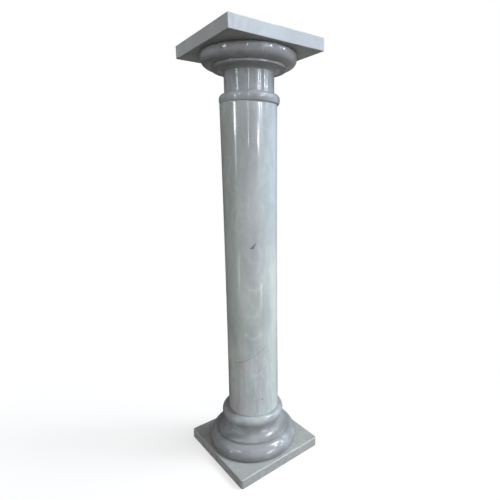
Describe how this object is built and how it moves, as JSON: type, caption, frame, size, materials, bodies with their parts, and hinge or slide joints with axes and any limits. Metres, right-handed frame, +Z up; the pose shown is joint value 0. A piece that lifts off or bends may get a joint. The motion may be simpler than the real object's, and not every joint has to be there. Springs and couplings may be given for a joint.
{
  "type": "doric column pedestal",
  "caption": "Marble column pedestal with a square plinth, moulded round base, plain round shaft, turned capital and square top slab to rest a thing on.",
  "frame": {"origin": "centre of the plinth's underside, on the floor", "axes": "+Z up along the column; +X and +Y square to the plinth's sides"},
  "size_m": [0.2474, 0.2474, 1],
  "materials": {
    "plinth_marble": "satin polished greenish grey marble",
    "base_marble": "glossy polished lilac grey marble",
    "shaft_marble": "polished light grey marble with cloudy mottling and one dark vein",
    "capital_marble": "glossy polished dark lilac grey marble",
    "abacus_marble": "honed light bluish grey marble"
  },
  "bodies": {
    "root": {"plinth": "plinth_marble", "base": "base_marble", "shaft": "shaft_marble", "capital": "capital_marble", "abacus": "abacus_marble"}
  },
  "joints": []
}
